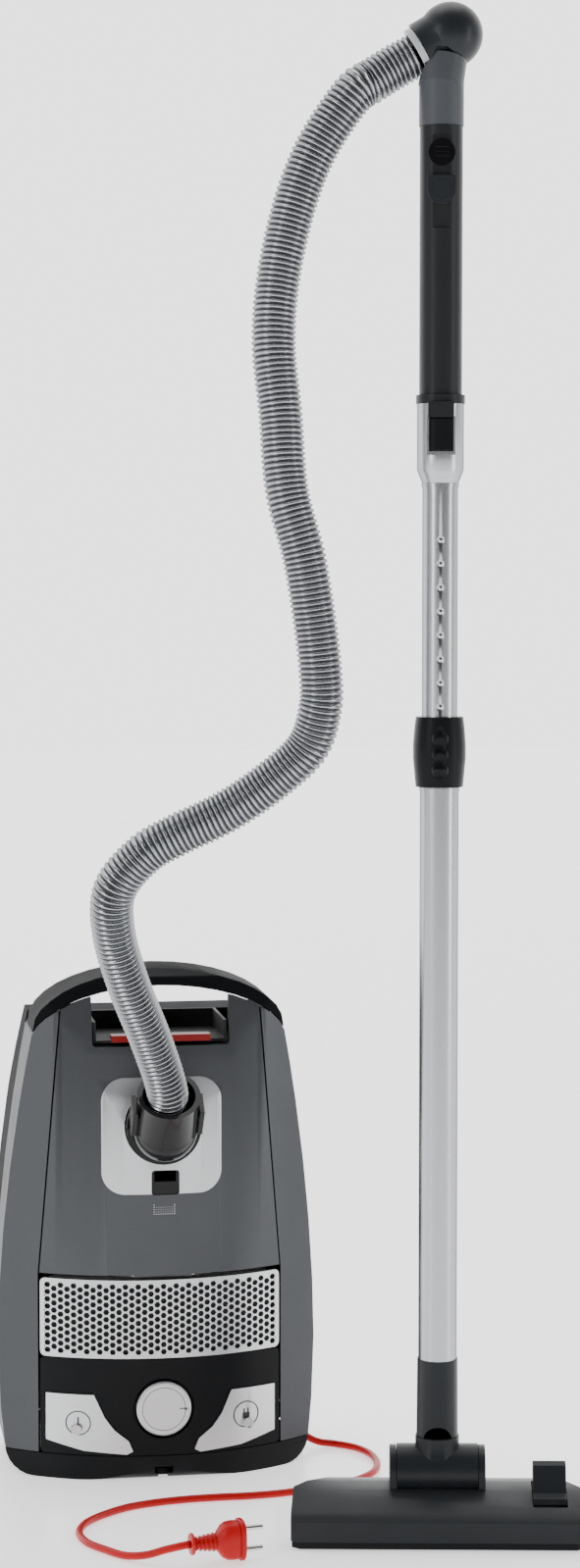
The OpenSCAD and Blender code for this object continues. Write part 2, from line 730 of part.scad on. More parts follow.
module plug_pins() {
    color([0.75, 0.74, 0.7]) at_plug() for (s = [-1, 1]) {
        translate([9.5 * s, 0, 49]) cylinder(r = 2.4, h = 18, $fn = 32);
        translate([9.5 * s, 0, 67]) cylinder(r1 = 2.4, r2 = 1.4, h = 1, $fn = 32);
    }
}

// ---- wand ----
module at_ball() {
    at_wand() translate([8, 10, ball_z]) children();
}
module toward_hose() {
    at_ball() rotate([0, -120, 0]) children();
}
// The room in which the hose's cuff turns.
module cuff_space(grow) {
    toward_hose() translate([0, 0, 5.5 - grow]) cylinder(r = 24.2 + grow, h = 60, $fn = 64);
}
module hose_ball() {
    color([0.13, 0.14, 0.15]) difference() {
        union() {
            at_ball() sphere(r = 29, $fn = 64);
            toward_hose() translate([0, 0, 4]) cylinder(r = 26, h = 24, $fn = 64);
        }
        toward_hose() translate([0, 0, 6]) cylinder(r = 22.05, h = 40, $fn = 64);
        toward_hose() translate([0, 0, -8]) cylinder(r = 16, h = 30, $fn = 64);
        at_wand() translate([0, 0, 1270]) cylinder(r = 16, h = 70, $fn = 64);
        difference() {
            at_wand() neck_solid(0.05);
            cuff_space(-0.1);
        }
    }
}
module hose_cuff() {
    color([0.75, 0.76, 0.77]) toward_hose() difference() {
        union() {
            translate([0, 0, 6.5]) cylinder(r = 22, h = 28, $fn = 64);
            translate([0, 0, 28.5]) cylinder(r = 23.5, h = 6, $fn = 64);
        }
        translate([0, 0, 5]) cylinder(r = 19.5, h = 50, $fn = 64);
    }
}
module neck_solid(grow) {
    translate([0, 0, 1272]) cylinder(r = 20 + grow, h = 40, $fn = 64);
    translate([0, 0, 1312]) rotate([-14, 8, 0]) translate([0, 0, -6])
        cylinder(r = 20 + grow, h = 26, $fn = 64);
}
module handle_neck() {
    color([0.34, 0.36, 0.38]) difference() {
        at_wand() {
            neck_solid(0);
            translate([0, 0, 1254]) cylinder(r = 16.6, h = 19, $fn = 64);
        }
        at_wand() translate([0, 0, 1250]) cylinder(r = 14, h = 62, $fn = 64);
        at_wand() translate([0, 0, 1312]) rotate([-14, 8, 0]) translate([0, 0, -8])
            cylinder(r = 15, h = 40, $fn = 64);
        cuff_space(0);
    }
}
module handle_grip() {
    color([0.1, 0.1, 0.11]) at_wand() difference() {
        union() {
            translate([0, 0, 1035]) cylinder(r = 19.2, h = 237, $fn = 64);
            translate([0, 0, 1027]) cylinder(r = 22, h = 7.6, $fn = 64);
            translate([0, 0, 990]) cylinder(r = 18.9, h = 46, $fn = 64);
            translate([-11.5, -24, 1014]) cube([23, 24, 14]);
        }
        translate([0, 0, 980]) cylinder(r = 16, h = 400, $fn = 64);
        translate([0, 0, 1252]) cylinder(r = 16.65, h = 40, $fn = 64);
        translate([0, -17.5, 1222]) rounded_pocket(31, 82, 9);
        translate([0, 0, 1247]) rotate([90, 0, 0]) cylinder(r = 9, h = 17.4, $fn = 48);
        translate([-10.5, -20, 984]) cube([21, 12, 30]);
        translate([-5, -19, 1208]) cube([10, 4.2, 12]);
    }
}
// A pocket that is open to the front, cut into a round grip.
module rounded_pocket(w, h, r) {
    upright(-10, 0.2) rounded(w, h, r);
}
module air_slider() {
    color([0.08, 0.08, 0.09]) at_wand() translate([0, 0, 1247]) difference() {
        rotate([90, 0, 0]) translate([0, 0, 17.6]) cylinder(r = 12, h = 2.6, $fn = 64);
        for (k = [-1:1]) translate([-6, -21, 4 * k - 0.6]) cube([12, 1.2, 1.2]);
    }
}
module handle_button() {
    color([0.16, 0.17, 0.18]) at_wand() difference() {
        union() {
            upright(-22, -19.2) translate([0, 1214]) {
                circle(r = 12.5, $fn = 64);
                translate([-12.5, 0]) square([25, 13]);
            }
            translate([-4, -19.4, 1209]) cube([8, 3, 10]);
        }
        upright(-23, -21.6) translate([0, 1216]) difference() {
            circle(r = 8.6, $fn = 48);
            circle(r = 7.8, $fn = 48);
        }
    }
}
module latch_button() {
    color([0.09, 0.1, 0.1]) at_wand() intersection() {
        translate([-10, -24.5, 984.6]) cube([20, 13.5, 28.6]);
        translate([0, 0, 950]) cylinder(r = 25, h = 100, $fn = 64);
    }
}
module upper_tube() {
    color([0.72, 0.73, 0.74]) at_wand() difference() {
        union() {
            translate([0, 0, 540]) cylinder(d = upper_tube_d, h = 420, $fn = 64);
            translate([0, 0, 956]) cylinder(d1 = upper_tube_d + 0.6, d2 = 42, h = 12, $fn = 64);
            translate([0, 0, 968]) cylinder(d = 42, h = 58.8, $fn = 64);
            translate([0, 0, 953]) cylinder(d = upper_tube_d + 1.6, h = 3, $fn = 64);
            translate([-12.5, -22.6, 981]) cube([25, 12, 34]);
        }
        translate([0, 0, 530]) cylinder(d = upper_tube_d - 2, h = 430, $fn = 64);
        translate([0, 0, 959]) cylinder(d1 = upper_tube_d - 2, d2 = 38, h = 12, $fn = 64);
        translate([0, 0, 970.9]) cylinder(d = 38.2, h = 80, $fn = 64);
        translate([-10.8, -30, 984]) cube([21.6, 30, 60]);
        for (k = [0:7]) translate([0, -20.5, 756 + 21.3 * k]) sphere(r = 6, $fn = 32);
    }
}
module telescope_sleeve() {
    color([0.13, 0.14, 0.15]) at_wand() translate([0, 0, sleeve_z0]) difference() {
        union() {
            rotate_extrude($fn = 64) polygon([[0, 0], [21.4, 0], [22, 6], [23.8, 26],
                [23.8, 38], [22.6, 54], [21.4, 63], [0, 63]]);
            for (k = [0:2]) translate([0, -20.5, 16 + 14 * k])
                sphere(r = 8, $fn = 32);
        }
        translate([0, 0, -1]) cylinder(d = lower_tube_d + 0.8, h = 58, $fn = 64);
        translate([0, 0, -1]) cylinder(d = upper_tube_d + 0.8, h = 90, $fn = 64);
        for (k = [0:3]) translate([0, -32, 10 + 14 * k]) sphere(r = 10, $fn = 32);
    }
}
module lower_tube() {
    color([0.72, 0.73, 0.74]) at_wand() difference() {
        union() {
            translate([0, 0, 130]) cylinder(d = lower_tube_d, h = 608, $fn = 64);
            translate([0, 0, 680]) cylinder(d = lower_tube_d + 1, h = 3, $fn = 64);
        }
        translate([0, 0, 120]) cylinder(d = upper_tube_d + 0.8, h = 640, $fn = 64);
    }
}
module tool_neck() {
    color([0.17, 0.18, 0.2]) at_wand() difference() {
        union() {
            translate([0, 0, 90]) cylinder(r1 = 19, r2 = 18.4, h = 71, $fn = 64);
            translate([0, 0, 84]) cylinder(r = 15.9, h = 10, $fn = 64);
        }
        translate([0, 0, 129.9]) cylinder(d = lower_tube_d + 0.1, h = 60, $fn = 64);
        translate([0, 0, 80]) cylinder(r = 14, h = 80, $fn = 64);
        translate([0, 0, 88]) rotate([90, 0, 0]) cylinder(r = 13, h = 50, $fn = 64);
    }
}
module pivot_housing() {
    color([0.17, 0.18, 0.2]) at_wand() difference() {
        union() {
            translate([0, 0, pivot_z]) disc_x(pivot_r, pivot_w);
            translate([0, 0, pivot_z]) cylinder(r = 20, h = 31.6, $fn = 64);
            translate([0, 0, pivot_z]) disc_x(5.95, pivot_w + 2 * cheek_w);
        }
        translate([0, 0, pivot_z + 10]) cylinder(r = 16, h = 40, $fn = 64);
        translate([0, 0, pivot_z]) cylinder(r = 14, h = 40, $fn = 64);
        translate([0, 0, pivot_z - 40]) cylinder(r = 13, h = 45, $fn = 64);
    }
}
head_profile = [[-64, 4], [-62, 26], [-54, 33], [-24, 45], [-6, 48], [12, 46],
    [32, 36], [40, 26], [42, 4]];
module head_plan(inset) {
    half = head_w / 2 - inset;
    polygon([[-half, -58 + inset], [-half + 8, -64 + inset], [half - 8, -64 + inset],
        [half, -58 + inset], [half - 2, -18], [half - 40, 20 - inset], [70, 42 - inset],
        [-70, 42 - inset], [-half + 40, 20 - inset], [-half + 2, -18]]);
}
module head_solid(inset) {
    intersection() {
        linear_extrude(60) head_plan(inset);
        along_x(-200, 200) offset(delta = -inset) polygon(head_profile);
    }
}
module head_shell() {
    color([0.17, 0.19, 0.2]) at_wand() difference() {
        union() {
            difference() {
                head_solid(0);
                head_solid(2.5);
                translate([-200, -100, -1]) cube([400, 200, 9]);
            }
            for (s = [-1, 1]) translate([s * (pivot_w + cheek_w + 1) / 2, 0, 0]) {
                translate([0, 0, pivot_z]) disc_x(pivot_r - 1, cheek_w);
                translate([-cheek_w / 2, -5, 10]) cube([cheek_w, 19, 30]);
                translate([-cheek_w / 2, 1 - pivot_r, 30])
                    cube([cheek_w, 2 * pivot_r - 2, pivot_z - 30]);
            }
        }
        translate([0, 0, pivot_z]) disc_x(pivot_r + 0.8, pivot_w + 1);
        translate([0, 0, pivot_z]) disc_x(6, 120);
        translate([-(pivot_w + 1) / 2, 0, 20]) cube([pivot_w + 1, 60, 80]);
        translate([-(pivot_w + 1) / 2, -61, 45]) cube([pivot_w + 1, 81, 50]);
        translate([85.4, -46, 20]) cube([31.2, 44, 40]);
    }
}
module head_sole() {
    color([0.1, 0.1, 0.1]) at_wand() difference() {
        translate([0, 0, 2]) linear_extrude(5.6) head_plan(1);
        translate([-head_w / 2 + 22, -36, -2]) cube([head_w - 44, 8, 20]);
        translate([-20, -36, -2]) cube([40, 22, 20]);
        for (y = [-55.4, -12.4]) translate([-head_w / 2 + 19, y, -2])
            cube([head_w - 38, 5.8, 20]);
        for (s = [-1, 1]) translate([s * 50 - 8, 16, -1]) cube([16, 18, 20]);
    }
    color([0.1, 0.1, 0.1]) at_wand() for (s = [-1, 1]) translate([s * 50, 25, 7]) disc_x(7, 12);
    color([0.6, 0.6, 0.6]) at_wand() for (s = [-1, 1]) translate([s * 50, 25, 7]) disc_x(1.5, 18);
}
module head_brushes() {
    color([0.12, 0.12, 0.12]) at_wand() for (y = [-55, -12])
        translate([-head_w / 2 + 20, y, 0.6]) cube([head_w - 40, 5, 16]);
}
module head_pedal() {
    color([0.15, 0.16, 0.17]) at_wand() difference() {
        union() {
            along_x(86, 116) polygon([[-42, 37], [-40, 42], [-32, 45], [-24, 68], [-18, 71],
                [-14, 69], [-20, 44], [-16, 37], [-18, 31], [-26, 31], [-28, 37]]);
            translate([101, -22, 32]) disc_x(3.4, 30);
        }
        translate([90, -45, 38.5]) cube([22, 5, 1.4]);
    }
}

lower_housing();
side_panel_left();
side_panel_right();
carry_handle();
handle_recess();
rear_bumper();
dust_chamber();
chamber_seal();
dust_bag();
bag_plate();
filters();
motor_housing();
motor_rotor();
motor_mounts();
exhaust_grille();
control_panel();
power_pedal();
rewind_pedal();
suction_dial();
circuit_board();
cord_reel();
wound_cord();
reel_frame();
wheel_left();
wheel_right();
tyre_left();
tyre_right();
steel_pins();
caster_fork();
caster_wheel();
housing_screws();
dust_lid();
connector_plate();
port_ring();
bag_window();
lid_latch();
hose_connector();
tab_left();
tab_right();
hose();
mains_cord();
cord_gland();
plug_body();
plug_pins();
hose_ball();
hose_cuff();
handle_neck();
handle_grip();
air_slider();
handle_button();
latch_button();
upper_tube();
telescope_sleeve();
lower_tube();
tool_neck();
pivot_housing();
head_shell();
head_sole();
head_brushes();
head_pedal();
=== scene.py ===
"""Canister vacuum cleaner, parked upright with its wand beside it."""

import math

import bpy
from mathutils import Matrix, Vector


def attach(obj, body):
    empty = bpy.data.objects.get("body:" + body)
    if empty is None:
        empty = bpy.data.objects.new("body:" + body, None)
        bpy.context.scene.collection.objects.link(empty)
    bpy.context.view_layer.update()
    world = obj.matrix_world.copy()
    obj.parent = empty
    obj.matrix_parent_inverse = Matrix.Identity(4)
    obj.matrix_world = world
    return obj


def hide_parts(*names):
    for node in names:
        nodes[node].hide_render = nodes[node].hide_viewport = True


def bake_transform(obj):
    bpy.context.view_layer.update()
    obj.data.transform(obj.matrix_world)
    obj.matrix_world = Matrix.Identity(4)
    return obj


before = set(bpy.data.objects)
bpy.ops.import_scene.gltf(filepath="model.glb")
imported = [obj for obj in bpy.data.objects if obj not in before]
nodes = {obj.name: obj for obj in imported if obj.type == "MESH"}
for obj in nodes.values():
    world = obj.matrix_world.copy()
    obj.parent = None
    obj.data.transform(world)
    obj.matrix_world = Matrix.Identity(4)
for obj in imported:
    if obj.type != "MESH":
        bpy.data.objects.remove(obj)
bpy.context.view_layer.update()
MM = 0.001

# ---- sizes shared with the CAD model, in millimetres ----
CROWN_R = 240
CROWN_Y = 145
DEPTH = 190
TOP_Z = 493
SLOPE_Z = 290
NOSE_BACK = 34
DIAL_Z = 70
GRILLE_Z = (119, 199)
PANEL_HALF = 117
WAND = (228, -293)
WAND_YAW = -10
CATCH_Z = 756
CATCH_PITCH = 21.3
CATCHES = 8
HOSE_D = 40
CORD_D = 7
HOSE_ROUTE = [(0, -128, 365.5), (-3, -148, 392), (-20, -172, 440), (-45, -201, 500),
              (-60, -222, 550), (-60, -238, 590), (-35, -248, 622), (-5, -254, 640),
              (40, -261, 662), (80, -270, 690), (110, -280, 720), (120, -288, 755),
              (120, -290, 785), (115, -290, 830), (105, -290, 890), (90, -286, 950),
              (85, -280, 1020), (80, -275, 1080), (85, -271, 1140), (100, -270, 1205),
              (120, -272, 1255), (150, -277, 1300), (168, -276, 1313), (187, -276.5, 1325),
              (206, -279, 1335.5)]
CORD_ROUTE = [(151, -4, 14), (158, -5, 9), (168, -6, 5), (183, -10, 3.6), (201, -27, 3.6),
              (211, -52, 3.6), (212, -81, 3.6), (205, -107, 3.6), (191, -127, 3.6),
              (172, -142, 3.6), (137, -157, 3.6), (105, -167, 3.6), (73, -171, 3.6),
              (43, -171, 3.6), (12, -173, 3.6), (-18, -179, 3.6), (-46, -190, 3.6),
              (-72, -211, 3.6), (-88, -231, 3.6), (-96, -252, 3.6), (-97, -270, 3.6),
              (-92, -291, 3.6), (-79, -312, 3.6), (-63, -333, 4), (-46, -347, 8),
              (-30, -354, 14), (-16, -358, 18), (-8, -359, 19.5)]
PLUG_AT = Vector((-8, -359, 19.5)) * MM
PLUG_TURN = math.radians(10)

# ---- places and sizes that only this script uses, in millimetres ----
LID_SWING = 2.7
SHEET_LIFT = -0.6
CUFF_CORE_X = 214
POWER_SIGN = (-82, 56)
REWIND_SIGN = (82, 58)
BAG_SIGN = (-9, 260.5)
DOT_STEP = 2.2
RIB = 5.0 * MM
RIB_STEPS = 8
HOSE_SIDES = 40
HOSE_FOOT_SHARE = 0.22
HOSE_LOWER_SHARE = 0.55
CAMERA_AT = (-0.345, -3.051, 0.880)
CAMERA_LENS = 71.8
CAMERA_DOWN = math.radians(3.94)
CAMERA_TURN = math.radians(-9)


# ---- camera ----
def camera():
    data = bpy.data.cameras.new("camera")
    data.lens = CAMERA_LENS
    data.clip_end = 50
    cam = bpy.data.objects.new("camera", data)
    cam.location = CAMERA_AT
    cam.rotation_euler = (math.pi / 2 - CAMERA_DOWN, 0, CAMERA_TURN)
    bpy.context.scene.collection.objects.link(cam)
    bpy.context.scene.camera = cam


camera()


# ---- materials ----
def shader(name, color, roughness, metallic=0.0, coat=0.0, coat_rough=0.05):
    """A new material with one Principled shader: the material, its tree and the shader."""
    mat = bpy.data.materials.new(name)
    mat.use_nodes = True
    bsdf = mat.node_tree.nodes["Principled BSDF"]
    bsdf.inputs["Base Color"].default_value = (*color, 1)
    bsdf.inputs["Roughness"].default_value = roughness
    bsdf.inputs["Metallic"].default_value = metallic
    bsdf.inputs["Coat Weight"].default_value = coat
    bsdf.inputs["Coat Roughness"].default_value = coat_rough
    return mat, mat.node_tree, bsdf


def coordinates(tree, stretch=(1, 1, 1)):
    """Object coordinates, squeezed by stretch along each axis."""
    where = tree.nodes.new("ShaderNodeTexCoord")
    mapping = tree.nodes.new("ShaderNodeMapping")
    mapping.inputs["Scale"].default_value = stretch
    tree.links.new(where.outputs["Object"], mapping.inputs["Vector"])
    return mapping.outputs["Vector"]


def noise(tree, vector, scale, detail=3.0):
    node = tree.nodes.new("ShaderNodeTexNoise")
    node.inputs["Scale"].default_value = scale
    node.inputs["Detail"].default_value = detail
    tree.links.new(vector, node.inputs["Vector"])
    return node.outputs["Fac"]


def spread(tree, value, low, high):
    """Stretches the middle of a noise to the range from low to high."""
    node = tree.nodes.new("ShaderNodeMapRange")
    node.inputs["From Min"].default_value = 0.3
    node.inputs["From Max"].default_value = 0.7
    node.inputs["To Min"].default_value = low
    node.inputs["To Max"].default_value = high
    tree.links.new(value, node.inputs["Value"])
    return node.outputs["Result"]


def bump(tree, bsdf, value, depth_mm):
    node = tree.nodes.new("ShaderNodeBump")
    node.inputs["Distance"].default_value = depth_mm * MM
    tree.links.new(value, node.inputs["Height"])
    tree.links.new(node.outputs["Normal"], bsdf.inputs["Normal"])


def tint(tree, bsdf, value, dark, light):
    """Mixes two colours by a noise."""
    mix = tree.nodes.new("ShaderNodeMix")
    mix.data_type = "RGBA"
    mix.inputs["A"].default_value = (*dark, 1)
    mix.inputs["B"].default_value = (*light, 1)
    tree.links.new(value, mix.inputs["Factor"])
    tree.links.new(mix.outputs["Result"], bsdf.inputs["Base Color"])


def plastic(name, color, roughness, grain=0.012, coat=0.0, shine=0.3):
    """Moulded plastic with a fine spark-eroded grain and slight handling marks."""
    mat, tree, bsdf = shader(name, color, roughness, coat=coat)
    bsdf.inputs["Specular IOR Level"].default_value = shine
    bsdf.inputs["Specular Tint"].default_value = (0.6, 0.6, 0.6, 1)
    where = coordinates(tree)
    tint(tree, bsdf, noise(tree, where, 40), [c * 0.9 for c in color], [c * 1.1 for c in color])
    smudge = spread(tree, noise(tree, where, 25, 5), roughness - 0.04, roughness + 0.05)
    tree.links.new(smudge, bsdf.inputs["Roughness"])
    bump(tree, bsdf, noise(tree, where, 2500), grain)
    return mat


def lacquer(name, color):
    """Metallic lacquer: tiny flakes under a clear coat."""
    mat, tree, bsdf = shader(name, color, 0.4, metallic=0.6, coat=0.05, coat_rough=0.15)
    bsdf.inputs["Specular IOR Level"].default_value = 0.2
    bsdf.inputs["Specular Tint"].default_value = (0.35, 0.35, 0.36, 1)
    where = coordinates(tree)
    flakes = tree.nodes.new("ShaderNodeTexVoronoi")
    flakes.inputs["Scale"].default_value = 3500
    tree.links.new(where, flakes.inputs["Vector"])
    tint(tree, bsdf, flakes.outputs["Distance"], [c * 1.15 for c in color],
         [c * 0.75 for c in color])
    rough = spread(tree, noise(tree, where, 30, 4), 0.37, 0.44)
    tree.links.new(rough, bsdf.inputs["Roughness"])
    return mat


def metal(name, color, roughness, stretch=(1, 1, 0.02), grain=0.004, scale=3000, rim=1.0):
    """Drawn or anodised metal with fine lines along its length."""
    mat, tree, bsdf = shader(name, color, roughness, metallic=1.0)
    bsdf.inputs["Specular Tint"].default_value = (rim, rim, rim, 1)
    where = coordinates(tree, stretch)
    lines = noise(tree, where, scale, 2)
    tint(tree, bsdf, lines, [c * 0.94 for c in color], [min(1, c * 1.05) for c in color])
    rough = spread(tree, lines, roughness - 0.03, roughness + 0.05)
    tree.links.new(rough, bsdf.inputs["Roughness"])
    bump(tree, bsdf, lines, grain)
    return mat


def fleece(name, color):
    """Soft filter fleece or bristle with a fibrous surface."""
    mat, tree, bsdf = shader(name, color, 0.9)
    bsdf.inputs["Sheen Weight"].default_value = 0.3
    where = coordinates(tree, (1, 1, 0.3))
    fibres = noise(tree, where, 1500, 6)
    tint(tree, bsdf, fibres, [c * 0.7 for c in color], [min(1, c * 1.2) for c in color])
    bump(tree, bsdf, fibres, 0.3)
    return mat


GREY = lacquer("grey_lacquer", (0.085, 0.089, 0.096))
BLACK = plastic("satin_black", (0.007, 0.0075, 0.0085), 0.36, shine=0.16)
ARCH = plastic("arch_black", (0.006, 0.0065, 0.0075), 0.6, shine=0.05)
GRIP = plastic("grip_black", (0.017, 0.018, 0.0195), 0.38, shine=0.25)
HOUSING = plastic("housing_grey", (0.02, 0.021, 0.023), 0.75, shine=0.08)
DARK = plastic("dark_inner_plastic", (0.03, 0.03, 0.032), 0.55)
GLOSS = plastic("gloss_black", (0.005, 0.005, 0.006), 0.16, grain=0.0, coat=0.1, shine=0.3)
CHARCOAL = plastic("charcoal", (0.017, 0.0195, 0.0225), 0.36)
NECK = plastic("neck_grey", (0.065, 0.071, 0.078), 0.42)
SILVER = metal("silver_paint", (0.62, 0.63, 0.645), 0.36, (1, 1, 1), 0.003, 2500)
SATIN = plastic("silver_plastic", (0.5, 0.51, 0.53), 0.34)
ALUMINIUM = metal("anodised_aluminium", (0.44, 0.45, 0.47), 0.28, rim=0.3)
STEEL = metal("bright_steel", (0.6, 0.6, 0.6), 0.22)
NICKEL = metal("nickel", (0.7, 0.68, 0.64), 0.16)
RED = plastic("lever_red", (0.22, 0.005, 0.006), 0.3)
CORD_RED = plastic("cord_red", (0.50, 0.008, 0.010), 0.34, grain=0.02)
HOSE = metal("hose_silver", (0.36, 0.37, 0.39), 0.25, (1, 1, 1), 0.004, 900, rim=0.4)
# Near-black colour for the hose grooves: painted shade in the hollows between the ridges.
GROOVE_SHADE = plastic("hose_groove_shade", (0.05, 0.051, 0.055), 0.45)
RUBBER = plastic("rubber", (0.014, 0.014, 0.014), 0.62, grain=0.03)
FLEECE = fleece("filter_fleece", (0.6, 0.6, 0.57))
BRISTLE = fleece("bristle", (0.02, 0.02, 0.02))
CARD = plastic("card", (0.42, 0.3, 0.17), 0.8, grain=0.05)
PALE = plastic("pale_plastic", (0.6, 0.6, 0.57), 0.45)
BOARD = plastic("board_green", (0.02, 0.13, 0.05), 0.4)
COPPER = metal("copper", (0.6, 0.3, 0.16), 0.3)
PRINT = plastic("white_print", (0.5, 0.5, 0.52), 0.5)
MARK = plastic("dark_mark", (0.045, 0.045, 0.05), 0.5)

LOOKS = {
    GREY: ["side_panel_left", "side_panel_right", "dust_lid"],
    HOUSING: ["lower_housing"],
    ARCH: ["carry_handle"],
    GRIP: ["handle_grip"],
    BLACK: ["rear_bumper", "control_panel", "latch_button", "telescope_sleeve", "head_sole"],
    DARK: ["handle_recess", "dust_chamber", "reel_frame", "wheel_left", "wheel_right",
           "caster_fork"],
    GLOSS: ["port_ring", "bag_window", "hose_connector", "tab_left", "tab_right", "air_slider"],
    CHARCOAL: ["hose_ball", "handle_button", "tool_neck", "pivot_housing", "head_shell",
               "head_pedal"],
    NECK: ["handle_neck"],
    SILVER: ["connector_plate", "suction_dial", "power_pedal", "rewind_pedal"],
    SATIN: ["hose_cuff"],
    ALUMINIUM: ["upper_tube", "lower_tube"],
    STEEL: ["steel_pins", "housing_screws"],
    NICKEL: ["plug_pins"],
    RED: ["lid_latch"],
    CORD_RED: ["wound_cord"],
    RUBBER: ["chamber_seal", "motor_mounts", "tyre_left", "tyre_right", "caster_wheel",
             "cord_gland"],
    FLEECE: ["dust_bag", "filters"],
    BRISTLE: ["head_brushes"],
    CARD: ["bag_plate"],
    PALE: ["motor_housing", "cord_reel"],
    BOARD: ["circuit_board"],
    COPPER: ["motor_rotor"],
}
EDGES = {"carry_handle": 1.6, "rear_bumper": 1.4, "dust_lid": 0.7, "side_panel_left": 0.8,
         "side_panel_right": 0.8, "head_shell": 1.4, "power_pedal": 1.0, "rewind_pedal": 1.0,
         "hose_connector": 1.0, "hose_ball": 0.8, "pivot_housing": 1.4, "lower_housing": 1.2,
         "suction_dial": 0.8, "telescope_sleeve": 0.8, "latch_button": 1.2,
         "handle_button": 0.8, "head_pedal": 0.8, "tool_neck": 0.6, "connector_plate": 0.5}


def finish_cad(node, mat):
    """Gives a CAD node its material, softened edges and smooth shading."""
    obj = nodes[node]
    obj.data.materials.clear()
    obj.data.materials.append(mat)
    if "custom_normal" in obj.data.attributes:
        obj.data.attributes.remove(obj.data.attributes["custom_normal"])
    obj.data.shade_smooth()
    weld = obj.modifiers.new("weld", "WELD")
    weld.merge_threshold = 2e-5
    flat = obj.modifiers.new("flat faces", "DECIMATE")
    flat.decimate_type = "DISSOLVE"
    flat.angle_limit = math.radians(0.6)
    edge = obj.modifiers.new("edges", "BEVEL")
    edge.width = EDGES.get(node, 0.35) * MM
    edge.segments = 3
    edge.limit_method = "ANGLE"
    edge.angle_limit = math.radians(38)
    edge.use_clamp_overlap = True
    edge.harden_normals = True


for look, names in LOOKS.items():
    for node in names:
        finish_cad(node, look)


def darken_cuff_core():
    """Only the collar at the hose is silver; the cuff inside the ball is dark."""
    cuff = nodes["hose_cuff"]
    cuff.data.materials.append(CHARCOAL)
    for face in cuff.data.polygons:
        if (cuff.matrix_world @ face.center).x > CUFF_CORE_X * MM:
            face.material_index = 1


darken_cuff_core()


# ---- geometry helpers ----
def mesh_object(name, verts, faces, mat, body=None, smooth=True):
    """A new object from vertices in metres, riding on body when one is given."""
    mesh = bpy.data.meshes.new(name)
    mesh.from_pydata([tuple(v) for v in verts], [], faces)
    mesh.validate()
    if smooth:
        mesh.shade_smooth()
    mesh.materials.append(mat)
    obj = bpy.data.objects.new(name, mesh)
    bpy.context.scene.collection.objects.link(obj)
    if body:
        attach(obj, body)
    return obj


def bevelled(obj, width_mm, angle):
    """Rounds the edges that are sharper than angle, in degrees."""
    mod = obj.modifiers.new("edges", "BEVEL")
    mod.width = width_mm * MM
    mod.segments = 2
    mod.limit_method = "ANGLE"
    mod.angle_limit = math.radians(angle)
    mod.harden_normals = True


def spline(points, per_span):
    """Catmull-Rom points through a route, ends included."""
    pts = [Vector(p) * MM for p in points]
    line = []
    for i in range(len(pts) - 1):
        a, b, c = pts[max(i - 1, 0)], pts[i], pts[i + 1]
        d = pts[min(i + 2, len(pts) - 1)]
        for k in range(per_span):
            t = k / per_span
            line.append(0.5 * (2 * b + (c - a) * t + (2 * a - 5 * b + 4 * c - d) * t * t
                               + (3 * b - a - 3 * c + d) * t ** 3))
    line.append(pts[-1])
    return line


def length_of(line):
    return sum((b - a).length for a, b in zip(line, line[1:]))


def even(line, step):
    """The same line with points a fixed step apart."""
    count = max(2, round(length_of(line) / step))
    gap = length_of(line) / count
    out = [line[0]]
    left = gap
    here = line[0]
    i = 1
    while i < len(line) and len(out) < count:
        span = (line[i] - here).length
        if span >= left:
            here = here + (line[i] - here).normalized() * left
            out.append(here)
            left = gap
        else:
            left -= span
            here = line[i]
            i += 1
    out.append(line[-1])
    return out


def skin(rings, sides):
    """Faces that join rings of points in order, with both ends closed."""
    faces = []
    for i in range(rings - 1):
        for k in range(sides):
            n = (k + 1) % sides
            faces.append((i * sides + k, i * sides + n, (i + 1) * sides + n,
                          (i + 1) * sides + k))
    faces.append(tuple(range(sides))[::-1])
    last = (rings - 1) * sides
    faces.append(tuple(range(last, last + sides)))
    return faces


def tube(name, line, radius, sides, mat):
    """A round tube along line; radius is a function of the point's number."""
    side = Vector((0, 1, 0))
    verts = []
    for i, p in enumerate(line):
        along = (line[min(i + 1, len(line) - 1)] - line[max(i - 1, 0)]).normalized()
        side = (side - along * side.dot(along)).normalized()
        up = along.cross(side)
        r = radius(i)
        for k in range(sides):
            a = math.tau * k / sides
            verts.append(p + side * (r * math.cos(a)) + up * (r * math.sin(a)))
    return mesh_object(name, verts, skin(len(line), sides), mat)


# ---- hose ----
def rib_radius(i):
    """Rounded ridges and narrow grooves, as on a blow-moulded hose."""
    wave = 0.5 + 0.5 * math.cos(math.tau * i / RIB_STEPS)
    return (HOSE_D / 2 - 2.6 * (1 - wave ** 0.7)) * MM


def hose():
    """Three stretches end to end, because each can bend across one joint only."""
    line = even(spline(HOSE_ROUTE, 40), RIB / RIB_STEPS)
    ribs = len(line) // RIB_STEPS
    foot_end = round(ribs * HOSE_FOOT_SHARE) * RIB_STEPS
    lower_end = round(ribs * HOSE_LOWER_SHARE) * RIB_STEPS
    foot, lower = line[:foot_end + 1], line[foot_end:lower_end + 1]
    upper = line[lower_end:]
    parts = []
    for name, part in (("hose_foot", foot), ("hose_lower", lower), ("hose_upper", upper)):
        obj = tube(name, part, rib_radius, HOSE_SIDES, HOSE)
        # Faces in the grooves get the near-black colour, painted shade between the ridges.
        obj.data.materials.append(GROOVE_SHADE)
        for face in obj.data.polygons[:-2]:
            if face.index // HOSE_SIDES % RIB_STEPS in (3, 4):
                face.material_index = 1
        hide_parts("hose")
        parts.append(obj)
    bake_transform(parts[0])
    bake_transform(parts[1])
    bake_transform(parts[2])


hose()


